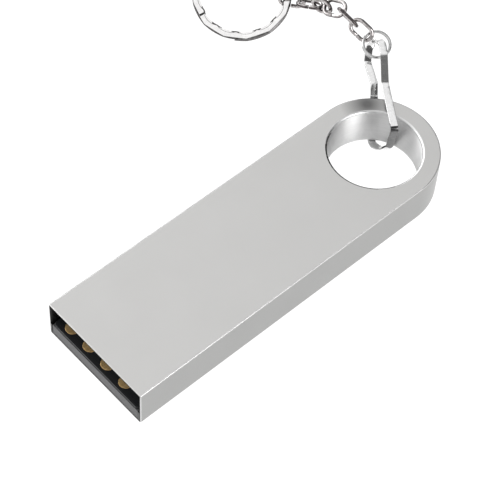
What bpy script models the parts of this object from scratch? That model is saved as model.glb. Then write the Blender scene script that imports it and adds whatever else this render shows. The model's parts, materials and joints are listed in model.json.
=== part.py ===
"""USB flash drive in a one-piece metal sleeve, with a strap clip, chain and split key ring.

Lengths in the constants are millimetres. The drive lies flat: +Z is up, its plug mouth faces -Y
and its eyelet is at the +Y end. Everything is laid out about the middle of the sleeve's underside,
and the finished object is then moved so that its bounding box stands centred on the origin.
"""
import math

import bmesh
import bpy
from mathutils import Vector

MM = 0.001

# ---- sleeve -------------------------------------------------------------------------------
SLEEVE_WIDTH = 12.2
SLEEVE_THICKNESS = 4.35
SLEEVE_LENGTH = 39.5
SLEEVE_WALL = 0.30
SLEEVE_EDGE_BEVEL = 0.12
EYELET_HOLE_RADIUS = 4.40
EYELET_RIM_CHAMFER = 0.15
EYELET_WEB = 1.2
MOUTH_LIP = 0.10
MOUTH_FLARE_DEPTH = 0.45
HALF_WIDTH = SLEEVE_WIDTH / 2
MOUTH_Y = -SLEEVE_LENGTH / 2
EYELET_Y = SLEEVE_LENGTH / 2 - HALF_WIDTH
CAVITY_END_Y = EYELET_Y - EYELET_HOLE_RADIUS - EYELET_WEB

# ---- what slides into the sleeve -------------------------------------------------------------
CUT_PAST = 1.0
FIT_GAP = 0.05
FILM_GAP = 0.01
TRAY_UNDER_GAP = 0.03
TRAY_FLOOR_Z = SLEEVE_WALL + TRAY_UNDER_GAP
TRAY_FRONT_SETBACK = 0.04
TRAY_TOP_Z = 1.50
TRAY_BASE = 0.40
TRAY_RAIL = 0.70
TRAY_END_BAR = 1.40
GLUE_ROOM = 0.40
GLUE_SIDE_INSET = 0.40
GLUE_END_INSET = 0.30
CARRIER_END_Y = CAVITY_END_Y - GLUE_ROOM
BOARD_THICKNESS = 0.25
BOARD_BOTTOM_Z = TRAY_TOP_Z + 2.0 * FILM_GAP
BOARD_TOP_Z = BOARD_BOTTOM_Z + BOARD_THICKNESS
BOARD_FRONT_SETBACK = 0.08
BOARD_BACK_SETBACK = 0.60
BOARD_CORNER = 0.30
CONTACT_COUNT = 4
CONTACT_PITCH = 2.40
CONTACT_WIDTH = 1.35
CONTACT_ROW_X = -0.60
CONTACT_THICKNESS = 0.05
CONTACT_SETBACK = 0.38
CONTACT_LENGTH = 8.60
LID_SETBACK = 12.70
LID_WALL = 0.70
MEMORY_STEP = 0.6
# Chips hang from the board's underside: centre across, centre along from the mouth, width,
# length, depth.
CHIPS = (
    ("controller_die", 0.0, 8.2, 3.2, 3.2, 0.30, "silicon"),
    ("memory_die_upper", 0.0, 17.6, 7.8, 9.6, 0.20, "silicon"),
    ("crystal", -2.8, 24.6, 2.0, 1.6, 0.50, "crystal_can"),
    ("capacitor_1", 3.6, 6.6, 0.5, 1.0, 0.45, "capacitor_body"),
    ("capacitor_2", 3.6, 8.2, 0.5, 1.0, 0.45, "capacitor_body"),
    ("capacitor_3", 1.0, 24.6, 1.0, 0.5, 0.45, "capacitor_body"),
    ("capacitor_4", -3.6, 8.2, 0.5, 1.0, 0.45, "capacitor_body"),
    ("resistor_1", -3.6, 6.6, 0.5, 1.0, 0.32, "resistor_body"),
    ("resistor_2", 2.8, 24.6, 1.0, 0.5, 0.32, "resistor_body"),
)

# ---- strap clip: a flat strip bent round the eyelet's rim ------------------------------------
CLIP_HEADING_DEG = 55.4
CLIP_WIDTH = 0.74
CLIP_THICKNESS = 0.18
CLIP_EDGE_SHARE = 0.22
CLIP_BEND_STEPS = 6
CLIP_UNDER_Z = -0.13
CLIP_OVER_Z = 4.75
CLIP_LEG_Z = 0.45
CLIP_EYE_Z = 1.90
# Each bend: out from the hole's axis, sideways, height, how much of each leg its round takes.
CLIP_BENDS = (
    (5.95, 1.17, CLIP_UNDER_Z, 0.0),
    (9.75, 2.02, CLIP_UNDER_Z, 0.3),
    (10.98, 2.16, CLIP_LEG_Z, 0.3),
    (13.67, 1.97, CLIP_LEG_Z, 0.3),
    (14.85, 2.27, 1.20, 0.45),
    (15.30, 2.95, 1.66, 0.5),
    (14.95, 3.50, CLIP_EYE_Z, 0.5),
    (13.20, 3.40, CLIP_EYE_Z, 0.25),
    (7.17, 2.15, CLIP_OVER_Z, 0.10),
    (1.81, 2.15, CLIP_OVER_Z, 0.12),
    (3.15, 2.30, 0.45, 0.12),
    (3.30, 1.55, -0.08, 0.5),
    (4.10, 0.75, CLIP_UNDER_Z, 0.5),
    (5.70, 1.11, CLIP_UNDER_Z, 0.0),
)

# ---- jump ring -------------------------------------------------------------------------------
JUMP_MEAN_RADIUS = 1.33
JUMP_WIRE = 0.32
JUMP_OUT = 14.95
JUMP_SIDE = 3.00
JUMP_Z = 1.50
JUMP_TILT_DEG = 22.0
JUMP_GAP_DEG = 3.0
JUMP_GAP_AT_DEG = 300.0
CHAIN_STARTS_AT_DEG = 130.0

# ---- chain -----------------------------------------------------------------------------------
LINK_WIRE = 0.42
LINK_LENGTH = 2.79
LINK_WIDTH = 1.92
LINK_SLACKS = (0.08, 0.12, 0.25, 0.28, 0.33, 0.12)
LINK_SEAM = 0.05
LINK_HEADINGS_DEG = (104.5, 96.5, 104.0, 93.0, 126.0, 132.0)
LINK_CLIMBS_DEG = (25.5, 16.0, -20.0, -35.0, -2.0, 6.0)
LINK_ROLLS_DEG = (-62.0, -120.0, -32.0, -97.0, 24.0, -97.0)

# ---- key ring: a hammered flat wire wound twice ----------------------------------------------
RING_OUTER_RADIUS = 4.98
RING_INNER_RADIUS = 4.13
RING_COIL = 0.28
RING_COIL_GAP = 0.05
RING_EDGE_SHARE = 0.25
RING_FACETS = 13
RING_FACET_DEPTH = 0.07
RING_HEADING_DEG = 130.0
RING_CLIMB_DEG = 3.5
RING_TILT_HEADING_DEG = -135.7
RING_TILT_DEG = 21.0
RING_JOG_AT_DEG = 70.0
RING_JOG_HALF_DEG = 26.0
RING_HOLD = 0.76
RING_MEAN_RADIUS = (RING_OUTER_RADIUS + RING_INNER_RADIUS) / 2

# ---- how finely round shapes are drawn -------------------------------------------------------
HOLE_SEGMENTS = 96
END_SEGMENTS = 48
WIRE_SIDES = 8
JUMP_SEGMENTS = 44
LINK_END_SEGMENTS = 12
RING_SEGMENTS_PER_TURN = 78

EYELET = Vector((0.0, EYELET_Y, 0.0))
UP = Vector((0.0, 0.0, 1.0))

MATERIALS = {
    "sleeve_metal": ((0.62, 0.62, 0.61), 0.34, 1.0),
    "tray_plastic": ((0.14, 0.14, 0.145), 0.48, 0.0),
    "lid_plastic": ((0.05, 0.05, 0.055), 0.50, 0.0),
    "board_black": ((0.015, 0.016, 0.018), 0.35, 0.0),
    "contact_gold": ((0.83, 0.60, 0.25), 0.28, 1.0),
    "mould_epoxy": ((0.02, 0.02, 0.022), 0.45, 0.0),
    "silicon": ((0.20, 0.21, 0.25), 0.18, 0.0),
    "crystal_can": ((0.66, 0.65, 0.60), 0.30, 1.0),
    "capacitor_body": ((0.46, 0.34, 0.22), 0.45, 0.0),
    "resistor_body": ((0.03, 0.03, 0.035), 0.40, 0.0),
    "glue": ((0.75, 0.72, 0.62), 0.40, 0.0),
    "clip_chrome": ((0.72, 0.72, 0.72), 0.16, 1.0),
    "ring_chrome": ((0.74, 0.73, 0.72), 0.14, 1.0),
    "link_chrome": ((0.70, 0.68, 0.67), 0.16, 1.0),
    "key_ring_chrome": ((0.76, 0.75, 0.74), 0.12, 1.0),
}


def clear_objects():
    for item in list(bpy.data.objects):
        bpy.data.objects.remove(item, do_unlink=True)


def get_material(name):
    found = bpy.data.materials.get(name)
    if found:
        return found
    colour, roughness, metallic = MATERIALS[name]
    material = bpy.data.materials.new(name)
    material.use_nodes = True
    shader = next(n for n in material.node_tree.nodes if n.type == "BSDF_PRINCIPLED")
    shader.inputs["Base Color"].default_value = (*colour, 1.0)
    shader.inputs["Roughness"].default_value = roughness
    shader.inputs["Metallic"].default_value = metallic
    return material


def heading_vector(heading_deg, climb_deg=0.0):
    """A unit vector; heading 0 is +Y and turns towards -X, climb lifts it towards +Z."""
    heading = math.radians(heading_deg)
    climb = math.radians(climb_deg)
    flat = math.cos(climb)
    return Vector((-math.sin(heading) * flat, math.cos(heading) * flat, math.sin(climb)))


CLIP_OUT = heading_vector(CLIP_HEADING_DEG)
CLIP_SIDE = heading_vector(CLIP_HEADING_DEG - 90.0)


def clip_point(out, side, height):
    return EYELET + CLIP_OUT * out + CLIP_SIDE * side + UP * height


def add_object(name, points, faces, material, pivot=Vector((0.0, 0.0, 0.0)), smooth_deg=None):
    """Make a closed mesh object whose points are in millimetres in the drive's frame."""
    mesh = bpy.data.meshes.new(name)
    mesh.from_pydata([(Vector(p) - pivot) * MM for p in points], [], faces)
    work = bmesh.new()
    work.from_mesh(mesh)
    bmesh.ops.recalc_face_normals(work, faces=work.faces[:])
    work.to_mesh(mesh)
    work.free()
    item = bpy.data.objects.new(name, mesh)
    item.location = pivot * MM
    bpy.context.scene.collection.objects.link(item)
    if material:
        mesh.materials.append(get_material(material))
    if smooth_deg is not None:
        mesh.shade_smooth()
        mesh.set_sharp_from_angle(angle=math.radians(smooth_deg))
    return item


def prism(outline, low_z, high_z):
    """Points and faces of a flat outline, given as (x, y) corners, drawn up from low_z."""
    count = len(outline)
    points = [(x, y, low_z) for x, y in outline] + [(x, y, high_z) for x, y in outline]
    faces = [tuple(reversed(range(count))), tuple(range(count, 2 * count))]
    for i in range(count):
        j = (i + 1) % count
        faces.append((i, j, count + j, count + i))
    return points, faces


def box_outline(low_x, high_x, low_y, high_y):
    return [(low_x, low_y), (high_x, low_y), (high_x, high_y), (low_x, high_y)]


def chamfered_outline(low_x, high_x, low_y, high_y, front_cut):
    return [
        (low_x + front_cut, low_y),
        (high_x - front_cut, low_y),
        (high_x, low_y + front_cut),
        (high_x, high_y),
        (low_x, high_y),
        (low_x, low_y + front_cut),
    ]


def add_block(name, low, high, material):
    points, faces = prism(box_outline(low[0], high[0], low[1], high[1]), low[2], high[2])
    return add_object(name, points, faces, material)


def add_cutter(name, points, faces):
    cutter = add_object(name, points, faces, None)
    cutter.hide_render = True
    cutter.display_type = "WIRE"
    return cutter


def cut(target, cutter):
    boolean = target.modifiers.new("cut_" + cutter.name, "BOOLEAN")
    boolean.operation = "DIFFERENCE"
    boolean.solver = "EXACT"
    boolean.object = cutter


def sleeve_outline():
    """The sleeve from above: square at the mouth, a half circle round the eyelet."""
    outline = [(-HALF_WIDTH, MOUTH_Y), (HALF_WIDTH, MOUTH_Y)]
    for i in range(END_SEGMENTS + 1):
        angle = math.pi * i / END_SEGMENTS
        outline.append((HALF_WIDTH * math.cos(angle), EYELET_Y + HALF_WIDTH * math.sin(angle)))
    return outline


def hole_profile():
    """Radius and height down the eyelet cutter, flaring at both rims for the chamfers."""
    low_r = EYELET_HOLE_RADIUS
    flare = EYELET_RIM_CHAMFER + CUT_PAST
    return [
        (low_r + flare, -CUT_PAST),
        (low_r, EYELET_RIM_CHAMFER),
        (low_r, SLEEVE_THICKNESS - EYELET_RIM_CHAMFER),
        (low_r + flare, SLEEVE_THICKNESS + CUT_PAST),
    ]


def turned(profile, centre, segments):
    """A solid turned about the vertical line through centre."""
    points = []
    faces = []
    for radius, height in profile:
        for i in range(segments):
            angle = 2.0 * math.pi * i / segments
            across = centre[0] + radius * math.cos(angle)
            along = centre[1] + radius * math.sin(angle)
            points.append((across, along, height))
    for row in range(len(profile) - 1):
        for i in range(segments):
            j = (i + 1) % segments
            low = row * segments
            high = low + segments
            faces.append((low + i, low + j, high + j, high + i))
    faces.append(tuple(reversed(range(segments))))
    last = (len(profile) - 1) * segments
    faces.append(tuple(range(last, last + segments)))
    return points, faces


def mouth_flare():
    """A wedge that thins the lip above the tray and at both sides of the mouth."""
    inner_x = HALF_WIDTH - SLEEVE_WALL
    outer_x = HALF_WIDTH - MOUTH_LIP
    inner_z = SLEEVE_THICKNESS - SLEEVE_WALL
    outer_z = SLEEVE_THICKNESS - MOUTH_LIP
    low_z = TRAY_TOP_Z
    back = MOUTH_Y + MOUTH_FLARE_DEPTH
    front = MOUTH_Y - CUT_PAST
    reach = CUT_PAST / MOUTH_FLARE_DEPTH
    grow_x = (outer_x - inner_x) * reach
    grow_z = (outer_z - inner_z) * reach
    wide_x = outer_x + grow_x
    high_z = outer_z + grow_z
    points = [
        (-wide_x, front, low_z),
        (wide_x, front, low_z),
        (wide_x, front, high_z),
        (-wide_x, front, high_z),
        (-inner_x, back, low_z),
        (inner_x, back, low_z),
        (inner_x, back, inner_z),
        (-inner_x, back, inner_z),
    ]
    faces = [(3, 2, 1, 0), (4, 5, 6, 7), (0, 1, 5, 4), (1, 2, 6, 5), (2, 3, 7, 6), (3, 0, 4, 7)]
    return points, faces


def build_sleeve():
    points, faces = prism(sleeve_outline(), 0.0, SLEEVE_THICKNESS)
    sleeve = add_object("housing", points, faces, "sleeve_metal", smooth_deg=35.0)
    bevel = sleeve.modifiers.new("outer_edges", "BEVEL")
    bevel.width = SLEEVE_EDGE_BEVEL * MM
    bevel.segments = 2
    bevel.limit_method = "ANGLE"
    bevel.angle_limit = math.radians(60.0)
    inner_x = HALF_WIDTH - SLEEVE_WALL
    top_z = SLEEVE_THICKNESS - SLEEVE_WALL
    outline = box_outline(-inner_x, inner_x, MOUTH_Y - 2.0 * CUT_PAST, CAVITY_END_Y)
    cut(sleeve, add_cutter("cutter_cavity", *prism(outline, SLEEVE_WALL, top_z)))
    cut(sleeve, add_cutter("cutter_mouth", *mouth_flare()))
    hole = turned(hole_profile(), (0.0, EYELET_Y), HOLE_SEGMENTS)
    cut(sleeve, add_cutter("cutter_eyelet", *hole))
    return sleeve


def build_tray():
    half = HALF_WIDTH - SLEEVE_WALL - FIT_GAP
    front = MOUTH_Y + TRAY_FRONT_SETBACK
    low = (-half, front, TRAY_FLOOR_Z)
    tray = add_block("carrier_tray", low, (half, CARRIER_END_Y, TRAY_TOP_Z), "tray_plastic")
    pocket_x = half - TRAY_RAIL
    outline = box_outline(-pocket_x, pocket_x, front + TRAY_END_BAR, CARRIER_END_Y - TRAY_END_BAR)
    pocket = prism(outline, TRAY_FLOOR_Z + TRAY_BASE, TRAY_TOP_Z + CUT_PAST)
    cut(tray, add_cutter("cutter_tray_pocket", *pocket))


def build_lid():
    half = HALF_WIDTH - SLEEVE_WALL - FIT_GAP
    front = MOUTH_Y + LID_SETBACK
    low_z = BOARD_TOP_Z + FIT_GAP
    high_z = SLEEVE_THICKNESS - SLEEVE_WALL - FIT_GAP
    lid = add_block("carrier_lid", (-half, front, low_z), (half, CARRIER_END_Y, high_z), "lid_plastic")
    hollow_x = half - LID_WALL
    outline = box_outline(-hollow_x, hollow_x, front + LID_WALL, CARRIER_END_Y - LID_WALL)
    hollow = prism(outline, low_z - CUT_PAST, high_z - LID_WALL)
    cut(lid, add_cutter("cutter_lid_hollow", *hollow))


def build_glue():
    half = HALF_WIDTH - SLEEVE_WALL - FIT_GAP - GLUE_SIDE_INSET
    high_z = SLEEVE_THICKNESS - SLEEVE_WALL - FIT_GAP - GLUE_END_INSET
    low = (-half, CARRIER_END_Y + FIT_GAP, TRAY_FLOOR_Z + GLUE_END_INSET)
    add_block("glue_bead", low, (half, CAVITY_END_Y - FIT_GAP, high_z), "glue")


def build_board():
    half = HALF_WIDTH - SLEEVE_WALL - 2.0 * FIT_GAP
    front = MOUTH_Y + BOARD_FRONT_SETBACK
    back = CARRIER_END_Y - BOARD_BACK_SETBACK
    outline = chamfered_outline(-half, half, front, back, BOARD_CORNER)
    add_object("module_board", *prism(outline, BOARD_BOTTOM_Z, BOARD_TOP_Z), "board_black")


def contact_outline(centre_x, front, back):
    """A strip with half-round ends."""
    radius = CONTACT_WIDTH / 2
    steps = 10
    outline = []
    for i in range(steps + 1):
        angle = math.pi * i / steps
        outline.append((centre_x - radius * math.cos(angle), front + radius - radius * math.sin(angle)))
    for i in range(steps + 1):
        angle = math.pi * i / steps
        outline.append((centre_x + radius * math.cos(angle), back - radius + radius * math.sin(angle)))
    return outline


def build_contacts():
    names = ("contact_ground", "contact_data_plus", "contact_data_minus", "contact_power")
    front = MOUTH_Y + CONTACT_SETBACK
    low_z = BOARD_TOP_Z + FILM_GAP
    for i in range(CONTACT_COUNT):
        centre_x = CONTACT_ROW_X + (i - (CONTACT_COUNT - 1) / 2) * CONTACT_PITCH
        outline = contact_outline(centre_x, front, front + CONTACT_LENGTH)
        points, faces = prism(outline, low_z, low_z + CONTACT_THICKNESS)
        add_object(names[i], points, faces, "contact_gold")


def add_chip(cap, name, corners, material, room):
    """Add one chip and cut its own room, a little larger, out of the moulded cap."""
    low, high = corners
    add_block(name, low, high, material)
    outline = box_outline(low[0] - FIT_GAP, high[0] + FIT_GAP, low[1] - FIT_GAP, high[1] + FIT_GAP)
    pocket = prism(outline, high[2] - room, high[2] + CUT_PAST)
    cut(cap, add_cutter("cutter_" + name, *pocket))


def build_module():
    half = HALF_WIDTH - SLEEVE_WALL - FIT_GAP - TRAY_RAIL - FIT_GAP
    front = MOUTH_Y + TRAY_FRONT_SETBACK + TRAY_END_BAR + FIT_GAP
    back = CARRIER_END_Y - TRAY_END_BAR - FIT_GAP
    top_z = BOARD_BOTTOM_Z - FILM_GAP
    low_z = TRAY_FLOOR_Z + TRAY_BASE + FILM_GAP
    cap = add_block("mould_cap", (-half, front, low_z), (half, back, top_z), "mould_epoxy")
    for name, across, along, width, length, depth, material in CHIPS:
        centre_y = MOUTH_Y + along
        low = (across - width / 2, centre_y - length / 2, top_z - depth)
        high = (across + width / 2, centre_y + length / 2, top_z)
        room = depth + FIT_GAP
        if name == "memory_die_upper":
            build_lower_die(low, high, depth)
            room = 2.0 * depth + FILM_GAP + FIT_GAP
        add_chip(cap, name, (low, high), material, room)


def build_lower_die(low, high, depth):
    """The second memory die, stacked under the first and shorter at both ends."""
    lower_high = low[2] - FILM_GAP
    low_corner = (low[0], low[1] + MEMORY_STEP, lower_high - depth)
    high_corner = (high[0], high[1] - MEMORY_STEP, lower_high)
    add_block("memory_die_lower", low_corner, high_corner, "silicon")


def rounded_path(bends):
    """The clip's centre line: straight legs joined by smooth rounds at the bends."""
    corners = [clip_point(out, side, height) for out, side, height, _ in bends]
    shares = [share for _, _, _, share in bends]
    steps = CLIP_BEND_STEPS
    path = [corners[0]]
    for i in range(1, len(corners) - 1):
        before = corners[i] + (corners[i - 1] - corners[i]) * shares[i]
        after = corners[i] + (corners[i + 1] - corners[i]) * shares[i]
        for k in range(steps + 1):
            t = k / steps
            bent = before * (1 - t) ** 2 + corners[i] * (2 * t * (1 - t)) + after * t ** 2
            if (bent - path[-1]).length > 1e-4:
                path.append(bent)
    path.append(corners[-1])
    return path


def path_tangents(path):
    tangents = []
    for i in range(len(path)):
        low = path[max(i - 1, 0)]
        high = path[min(i + 1, len(path) - 1)]
        tangents.append((high - low).normalized())
    return tangents


def sweep(sections):
    """Points and faces of an open tube through equal rings of points, closed by its two ends."""
    sides = len(sections[0])
    points = [p for ring in sections for p in ring]
    faces = []
    for row in range(len(sections) - 1):
        for i in range(sides):
            j = (i + 1) % sides
            low = row * sides
            high = low + sides
            faces.append((low + i, low + j, high + j, high + i))
    faces.append(tuple(reversed(range(sides))))
    last = (len(sections) - 1) * sides
    faces.append(tuple(range(last, last + sides)))
    return points, faces


def strip_section(centre, tangent, side):
    """A flat strip's cross-section with its long edges just broken."""
    across = (side - tangent * side.dot(tangent)).normalized()
    normal = tangent.cross(across)
    half_w = CLIP_WIDTH / 2
    half_t = CLIP_THICKNESS / 2
    ease = CLIP_THICKNESS * CLIP_EDGE_SHARE
    shape = (
        (half_w, half_t - ease),
        (half_w - ease, half_t),
        (-half_w + ease, half_t),
        (-half_w, half_t - ease),
        (-half_w, -half_t + ease),
        (-half_w + ease, -half_t),
        (half_w - ease, -half_t),
        (half_w, -half_t + ease),
    )
    return [centre + across * a + normal * b for a, b in shape]


def build_clip():
    path = rounded_path(CLIP_BENDS)
    tangents = path_tangents(path)
    sections = [strip_section(p, t, CLIP_SIDE) for p, t in zip(path, tangents)]
    pivot = EYELET + UP * (SLEEVE_THICKNESS / 2)
    add_object("strap_clip", *sweep(sections), "clip_chrome", pivot, smooth_deg=40.0)


def wire_section(centre, outward, upward, radius):
    """A round wire's cross-section in the plane of two unit vectors."""
    ring = []
    for i in range(WIRE_SIDES):
        angle = 2.0 * math.pi * (i + 0.5) / WIRE_SIDES
        across = outward * (radius * math.cos(angle))
        ring.append(centre + across + upward * (radius * math.sin(angle)))
    return ring


def jump_frame():
    centre = clip_point(JUMP_OUT, JUMP_SIDE, JUMP_Z)
    tilt = math.radians(JUMP_TILT_DEG)
    rise = CLIP_OUT * math.cos(tilt) + UP * math.sin(tilt)
    return centre, CLIP_SIDE, rise


def jump_point(angle_deg):
    centre, side, rise = jump_frame()
    angle = math.radians(angle_deg)
    return centre + (side * math.cos(angle) + rise * math.sin(angle)) * JUMP_MEAN_RADIUS


def build_jump_ring():
    centre, side, rise = jump_frame()
    normal = side.cross(rise)
    start = JUMP_GAP_AT_DEG + JUMP_GAP_DEG / 2
    span = 360.0 - JUMP_GAP_DEG
    sections = []
    for i in range(JUMP_SEGMENTS + 1):
        point = jump_point(start + span * i / JUMP_SEGMENTS)
        outward = (point - centre).normalized()
        sections.append(wire_section(point, outward, normal, JUMP_WIRE / 2))
    pivot = jump_point(-90.0)
    add_object("jump_ring", *sweep(sections), "ring_chrome", pivot, smooth_deg=60.0)


def chain_frames():
    """For each link: the wire it hangs on, its centre, its lengthwise and its widthwise axis."""
    reach = LINK_LENGTH / 2 - LINK_WIRE / 2
    held_wire = JUMP_WIRE
    anchor = jump_point(CHAIN_STARTS_AT_DEG)
    frames = []
    turns = zip(LINK_HEADINGS_DEG, LINK_CLIMBS_DEG, LINK_ROLLS_DEG, LINK_SLACKS)
    for heading, climb, roll, slack in turns:
        along = heading_vector(heading, climb)
        level = UP.cross(along).normalized()
        lift = along.cross(level)
        turn = math.radians(roll)
        wide = level * math.cos(turn) + lift * math.sin(turn)
        hold = (held_wire + LINK_WIRE) / 2 + slack
        centre = anchor + along * (reach - hold)
        frames.append((anchor, centre, along, wide))
        anchor = centre + along * reach
        held_wire = LINK_WIRE
    return frames, anchor


def link_path(centre, along, wide):
    """A stadium-shaped centre line that starts and ends at a seam in one straight side."""
    round_r = (LINK_WIDTH - LINK_WIRE) / 2
    half_straight = LINK_LENGTH / 2 - LINK_WIRE / 2 - round_r
    flat = [(LINK_SEAM / 2, round_r)]
    for i in range(LINK_END_SEGMENTS + 1):
        angle = math.pi / 2 - math.pi * i / LINK_END_SEGMENTS
        flat.append((half_straight + round_r * math.cos(angle), round_r * math.sin(angle)))
    for i in range(LINK_END_SEGMENTS + 1):
        angle = -math.pi / 2 - math.pi * i / LINK_END_SEGMENTS
        flat.append((-half_straight + round_r * math.cos(angle), round_r * math.sin(angle)))
    flat.append((-LINK_SEAM / 2, round_r))
    return [centre + along * a + wide * b for a, b in flat]


def build_chain():
    frames, _ = chain_frames()
    for number, (anchor, centre, along, wide) in enumerate(frames, start=1):
        path = link_path(centre, along, wide)
        tangents = path_tangents(path)
        normal = along.cross(wide)
        sections = []
        for point, tangent in zip(path, tangents):
            outward = tangent.cross(normal)
            sections.append(wire_section(point, outward, normal, LINK_WIRE / 2))
        name = "chain_link_%d" % number
        add_object(name, *sweep(sections), "link_chrome", anchor, smooth_deg=60.0)


def ring_frame():
    """The key ring's centre, its two in-plane axes and its normal."""
    frames, last_wire = chain_frames()
    last_link_along = frames[-1][2]
    tilt = math.radians(RING_TILT_DEG)
    lean = heading_vector(RING_TILT_HEADING_DEG)
    normal = UP * math.cos(tilt) + lean * math.sin(tilt)
    inward = heading_vector(RING_HEADING_DEG, RING_CLIMB_DEG)
    inward = (inward - normal * inward.dot(normal)).normalized()
    held = last_wire - last_link_along * RING_HOLD
    centre = held + inward * RING_MEAN_RADIUS
    return centre, inward, normal.cross(inward), normal, last_wire


def smooth_step(t):
    t = min(max(t, 0.0), 1.0)
    return t * t * (3.0 - 2.0 * t)


def coil_offset(angle_deg):
    """Height of the wire above the first coil: flat turns joined by one short jog."""
    pitch = RING_COIL + RING_COIL_GAP
    jog_start = RING_JOG_AT_DEG + 360.0 - RING_JOG_HALF_DEG
    return pitch * (smooth_step((angle_deg - jog_start) / (2.0 * RING_JOG_HALF_DEG)) - 0.5)


def facet_share(angle_deg, phase):
    """0 in the middle of a hammered facet and 1 at its edges."""
    place = angle_deg * RING_FACETS / 360.0 + phase
    return (2.0 * abs(place - math.floor(place) - 0.5)) ** 2


def build_key_ring():
    centre, first, second, normal, last_wire = ring_frame()
    start = RING_JOG_AT_DEG + RING_JOG_HALF_DEG
    end = RING_JOG_AT_DEG + 720.0 - RING_JOG_HALF_DEG
    steps = round((end - start) / 360.0 * RING_SEGMENTS_PER_TURN)
    half_coil = RING_COIL / 2
    ease = RING_COIL * RING_EDGE_SHARE
    sections = []
    for i in range(steps + 1):
        angle_deg = start + (end - start) * i / steps
        angle = math.radians(angle_deg)
        radial = first * math.cos(angle) + second * math.sin(angle)
        outer = RING_OUTER_RADIUS - RING_FACET_DEPTH * (1.0 - facet_share(angle_deg, 0.0))
        inner = RING_INNER_RADIUS + RING_FACET_DEPTH * (1.0 - facet_share(angle_deg, 0.5))
        base = centre + normal * coil_offset(angle_deg)
        shape = (
            (outer, half_coil - ease),
            (outer - ease, half_coil),
            (inner + ease, half_coil),
            (inner, half_coil - ease),
            (inner, -half_coil + ease),
            (inner + ease, -half_coil),
            (outer - ease, -half_coil),
            (outer, -half_coil + ease),
        )
        sections.append([base + radial * r + normal * h for r, h in shape])
    add_object("key_ring", *sweep(sections), "key_ring_chrome", last_wire, smooth_deg=40.0)


def centre_on_origin():
    """Move everything so the bounding box is centred in X and Y and stands on Z = 0."""
    corners = []
    for item in bpy.context.scene.objects:
        if item.type == "MESH" and not item.hide_render:
            corners.extend(item.location + v.co for v in item.data.vertices)
    low = Vector((min(c.x for c in corners), min(c.y for c in corners), min(c.z for c in corners)))
    high = Vector((max(c.x for c in corners), max(c.y for c in corners), 0.0))
    shift = Vector(((low.x + high.x) / 2, (low.y + high.y) / 2, low.z))
    for item in bpy.context.scene.objects:
        item.location = item.location - shift


def build():
    clear_objects()
    build_sleeve()
    build_tray()
    build_lid()
    build_glue()
    build_board()
    build_contacts()
    build_module()
    build_clip()
    build_jump_ring()
    build_chain()
    build_key_ring()
    centre_on_origin()


build()
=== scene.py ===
"""Looks of the USB flash drive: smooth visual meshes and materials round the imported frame.

Lengths in this script are millimetres unless a name says otherwise; MM turns them into metres.
Places come from the frame: its boxes and its joints. EYELET is where the eyelet's axis meets the
sleeve's underside, and the clip and the camera are placed from it.
"""
import json
import math

import bmesh
import bpy
import numpy as np
from mathutils import Matrix, Vector


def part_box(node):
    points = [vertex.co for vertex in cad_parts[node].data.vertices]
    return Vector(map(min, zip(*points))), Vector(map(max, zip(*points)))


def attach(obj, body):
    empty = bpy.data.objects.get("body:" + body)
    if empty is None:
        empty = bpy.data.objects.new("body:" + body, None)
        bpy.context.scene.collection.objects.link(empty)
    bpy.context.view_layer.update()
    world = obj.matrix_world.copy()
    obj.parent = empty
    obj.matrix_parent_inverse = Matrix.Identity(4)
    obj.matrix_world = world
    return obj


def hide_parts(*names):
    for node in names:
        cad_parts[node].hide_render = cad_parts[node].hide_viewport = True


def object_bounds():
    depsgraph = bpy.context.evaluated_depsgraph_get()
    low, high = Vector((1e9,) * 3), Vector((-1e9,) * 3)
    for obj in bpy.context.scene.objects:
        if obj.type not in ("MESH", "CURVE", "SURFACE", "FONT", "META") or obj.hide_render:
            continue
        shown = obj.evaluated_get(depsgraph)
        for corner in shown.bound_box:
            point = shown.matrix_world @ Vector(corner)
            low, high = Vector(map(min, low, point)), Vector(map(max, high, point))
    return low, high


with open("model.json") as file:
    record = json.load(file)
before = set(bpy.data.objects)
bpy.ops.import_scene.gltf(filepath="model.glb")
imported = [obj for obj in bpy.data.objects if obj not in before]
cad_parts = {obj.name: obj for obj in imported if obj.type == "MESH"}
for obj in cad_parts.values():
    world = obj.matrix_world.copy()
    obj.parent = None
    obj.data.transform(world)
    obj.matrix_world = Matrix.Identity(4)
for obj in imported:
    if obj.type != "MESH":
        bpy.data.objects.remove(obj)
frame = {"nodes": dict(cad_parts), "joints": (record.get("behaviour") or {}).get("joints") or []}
cad_low, cad_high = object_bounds()

MM = 0.001
UP = Vector((0.0, 0.0, 1.0))

# ---- sizes that the frame does not state -----------------------------------------------------
SLEEVE_WALL = 0.30
SLEEVE_EDGE_ROUND = 0.13
EYELET_HOLE_RADIUS = 4.40
# The eyelet's rim is rolled: the roll's radius, and how far round it goes. The CAD has a smaller
# chamfer there.
EYELET_LIP_ROUND = 0.25
EYELET_ROLL_DEG = 75.0
EYELET_WEB = 1.2
MOUTH_LIP = 0.10
MOUTH_FLARE_DEPTH = 0.45
TRAY_BASE = 0.40
TRAY_RAIL = 0.70
TRAY_END_BAR = 1.40
# The tray reaches the mouth in front and the sleeve's floor below, all but these gaps.
TRAY_FRONT_GAP = 0.02
TRAY_FLOOR_GAP = 0.002
TRAY_EDGE_ROUND = 0.02
BOARD_CORNER = 0.30
BOARD_EDGE_ROUND = 0.03
CONTACT_EDGE_ROUND = 0.018
# How far a cutter runs on past the faces that it cuts.
CUTTER_OVERRUN = 1.0
CLIP_WIDTH = 0.74
CLIP_THICKNESS = 0.18
CLIP_ROUND = 0.05
# Cosines of the faces that are the clip's cut edges, and of those too level to take painted shade.
CUT_EDGE_COSINE = 0.8
TOO_LEVEL_COSINE = 0.95
# How far from the eyelet's axis the clip's lower leg is painted dark as shade under the rim.
UNDER_RIM_REACH = 9.95
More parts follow.
